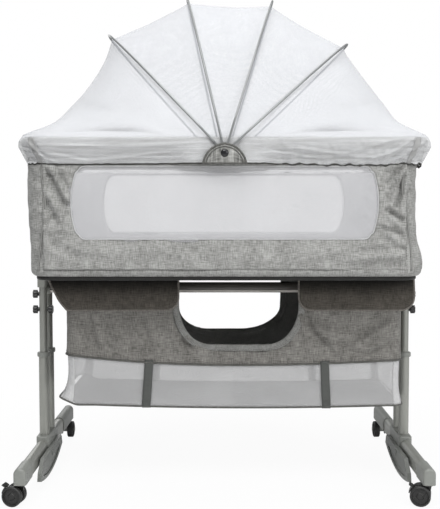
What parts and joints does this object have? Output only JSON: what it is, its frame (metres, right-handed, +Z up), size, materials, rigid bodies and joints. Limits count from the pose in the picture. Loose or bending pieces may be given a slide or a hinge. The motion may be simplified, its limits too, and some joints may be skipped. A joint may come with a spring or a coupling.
{
  "type": "bedside sleeper crib",
  "caption": "Bedside baby crib: mesh-windowed bassinet on height-adjustable legs with wheeled feet, a rib-hung net canopy and a hanging storage basket.",
  "frame": {"origin": "on the floor under the middle of the crib", "axes": "+X to the right seen from the front, +Y towards the far side, +Z up"},
  "size_m": [0.9542, 0.6113, 1.1572],
  "materials": {
    "silver_paint": "satin silver-grey lacquer",
    "grey_plastic": "matt mid grey",
    "dark_plastic": "matt dark grey",
    "black_plastic": "satin black",
    "body_cloth": "melange linen-look weave, light grey",
    "basket_cloth": "melange linen-look weave, dark grey",
    "rim_cloth": "padded melange cloth",
    "mesh": "fine white mesh",
    "net": "sheer white mosquito net",
    "webbing": "dark grey webbing",
    "mattress_cloth": "off-white ticking",
    "board": "plain pressed board",
    "wire": "grey enamelled wire"
  },
  "bodies": {
    "base": {"foot_bar_left": "silver_paint", "foot_cap_front_left": "grey_plastic", "foot_cap_rear_left": "grey_plastic", "post_saddle_left": "grey_plastic", "lower_post_left_front": "silver_paint", "collar_left_front": "grey_plastic", "lower_post_left_rear": "silver_paint", "collar_left_rear": "grey_plastic", "foot_bar_right": "silver_paint", "foot_cap_front_right": "grey_plastic", "foot_cap_rear_right": "grey_plastic", "post_saddle_right": "grey_plastic", "lower_post_right_front": "silver_paint", "collar_right_front": "grey_plastic", "lower_post_right_rear": "silver_paint", "collar_right_rear": "grey_plastic"},
    "rocker_left": {"rocker_left": "grey_plastic"},
    "caster_fork_left": {"caster_fork_left": "black_plastic"},
    "caster_wheel_left": {"caster_wheel_left": "black_plastic"},
    "caster_lever_left": {"caster_lever_left": "black_plastic"},
    "rear_wheel_left": {"rear_wheel_left": "black_plastic"},
    "rocker_right": {"rocker_right": "grey_plastic"},
    "caster_fork_right": {"caster_fork_right": "black_plastic"},
    "caster_wheel_right": {"caster_wheel_right": "black_plastic"},
    "caster_lever_right": {"caster_lever_right": "black_plastic"},
    "rear_wheel_right": {"rear_wheel_right": "black_plastic"},
    "bassinet": {"upper_frame_left": "silver_paint", "upper_frame_right": "silver_paint", "crossbar": "silver_paint", "bassinet_tub": "body_cloth", "front_panel": "body_cloth", "window_front": "mesh", "window_back": "mesh", "base_board": "board", "mattress": "mattress_cloth", "rim": "rim_cloth", "net_band": "net", "net_end_left": "net", "net_end_right": "net", "net_gore_1": "net", "net_gore_2": "net", "net_gore_3": "net", "hub_front": "body_cloth", "hub_back": "body_cloth", "basket_skirt": "basket_cloth", "basket_net": "mesh", "basket_floor": "basket_cloth", "basket_strap_left": "webbing", "basket_strap_right": "webbing"},
    "flap_left": {"flap_left": "basket_cloth"},
    "flap_right": {"flap_right": "basket_cloth"},
    "knob_upper_left": {"knob_upper_left": "black_plastic"},
    "knob_lower_left": {"knob_lower_left": "black_plastic"},
    "knob_upper_right": {"knob_upper_right": "black_plastic"},
    "knob_lower_right": {"knob_lower_right": "black_plastic"},
    "rib_1": {"rib_1": "wire"},
    "rib_2": {"rib_2": "wire"},
    "rib_3": {"rib_3": "wire"},
    "rib_4": {"rib_4": "wire"}
  },
  "joints": [
    {"name": "height_adjust", "type": "slide", "parent": "base", "child": "bassinet", "axis": [0, 0, 1], "range_m": [-0.09, 0.04]},
    {"name": "rocker_fold_left", "type": "hinge", "parent": "base", "child": "rocker_left", "pos_m": [-0.4277, -0.067, 0.055], "axis": [1, 0, 0], "range_deg": [0, 180]},
    {"name": "caster_swivel_left", "type": "hinge", "parent": "base", "child": "caster_fork_left", "pos_m": [-0.444, -0.288, 0.05], "axis": [0, 0, 1], "continuous": true},
    {"name": "caster_spin_left", "type": "hinge", "parent": "caster_fork_left", "child": "caster_wheel_left", "pos_m": [-0.45976, -0.28522, 0.0225], "axis": [-0.1736, -0.9848, 0], "continuous": true},
    {"name": "brake_press_left", "type": "hinge", "parent": "caster_fork_left", "child": "caster_lever_left", "pos_m": [-0.45976, -0.28522, 0.0225], "axis": [-0.1736, -0.9848, 0], "range_deg": [0, 12]},
    {"name": "rear_wheel_spin_left", "type": "hinge", "parent": "base", "child": "rear_wheel_left", "pos_m": [-0.433, 0.275, 0.022], "axis": [1, 0, 0], "continuous": true},
    {"name": "knob_upper_turn_left", "type": "hinge", "parent": "bassinet", "child": "knob_upper_left", "pos_m": [-0.458, -0.033, 0.438], "axis": [1, 0, 0], "continuous": true},
    {"name": "knob_lower_turn_left", "type": "hinge", "parent": "bassinet", "child": "knob_lower_left", "pos_m": [-0.444, -0.033, 0.4], "axis": [1, 0, 0], "continuous": true},
    {"name": "flap_lift_left", "type": "hinge", "parent": "bassinet", "child": "flap_left", "pos_m": [-0.256, -0.15155, 0.4922], "axis": [-1, 0, 0], "range_deg": [0, 80]},
    {"name": "rocker_fold_right", "type": "hinge", "parent": "base", "child": "rocker_right", "pos_m": [0.4277, -0.067, 0.055], "axis": [1, 0, 0], "range_deg": [0, 180]},
    {"name": "caster_swivel_right", "type": "hinge", "parent": "base", "child": "caster_fork_right", "pos_m": [0.444, -0.288, 0.05], "axis": [0, 0, 1], "continuous": true},
    {"name": "caster_spin_right", "type": "hinge", "parent": "caster_fork_right", "child": "caster_wheel_right", "pos_m": [0.42855, -0.28386, 0.0225], "axis": [-0.2588, -0.9659, 0], "continuous": true},
    {"name": "brake_press_right", "type": "hinge", "parent": "caster_fork_right", "child": "caster_lever_right", "pos_m": [0.42855, -0.28386, 0.0225], "axis": [-0.2588, -0.9659, 0], "range_deg": [0, 12]},
    {"name": "rear_wheel_spin_right", "type": "hinge", "parent": "base", "child": "rear_wheel_right", "pos_m": [0.433, 0.275, 0.022], "axis": [1, 0, 0], "continuous": true},
    {"name": "knob_upper_turn_right", "type": "hinge", "parent": "bassinet", "child": "knob_upper_right", "pos_m": [0.458, -0.033, 0.438], "axis": [1, 0, 0], "continuous": true},
    {"name": "knob_lower_turn_right", "type": "hinge", "parent": "bassinet", "child": "knob_lower_right", "pos_m": [0.444, -0.033, 0.4], "axis": [1, 0, 0], "continuous": true},
    {"name": "flap_lift_right", "type": "hinge", "parent": "bassinet", "child": "flap_right", "pos_m": [0.305, -0.15155, 0.4922], "axis": [-1, 0, 0], "range_deg": [0, 80]},
    {"name": "rib_1_fold", "type": "hinge", "parent": "bassinet", "child": "rib_1", "pos_m": [0, 0, 0.765], "axis": [0, 1, 0], "range_deg": [0, 68], "deforming": ["net_end_left", "net_end_right", "net_gore_1", "net_gore_2", "net_gore_3"]},
    {"name": "rib_2_fold", "type": "hinge", "parent": "rib_1", "child": "rib_2", "pos_m": [0, 0, 0.765], "axis": [0, 1, 0], "range_deg": [-20, 0]},
    {"name": "rib_3_fold", "type": "hinge", "parent": "rib_2", "child": "rib_3", "pos_m": [0, 0, 0.765], "axis": [0, 1, 0], "range_deg": [-20, 0]},
    {"name": "rib_4_fold", "type": "hinge", "parent": "rib_3", "child": "rib_4", "pos_m": [0, 0, 0.765], "axis": [0, 1, 0], "range_deg": [-20, 0]}
  ],
  "couplings": [
    {"joint": "rib_2_fold", "follows": "rib_1_fold", "ratio": -0.29412},
    {"joint": "rib_3_fold", "follows": "rib_1_fold", "ratio": -0.29412},
    {"joint": "rib_4_fold", "follows": "rib_1_fold", "ratio": -0.29412}
  ]
}
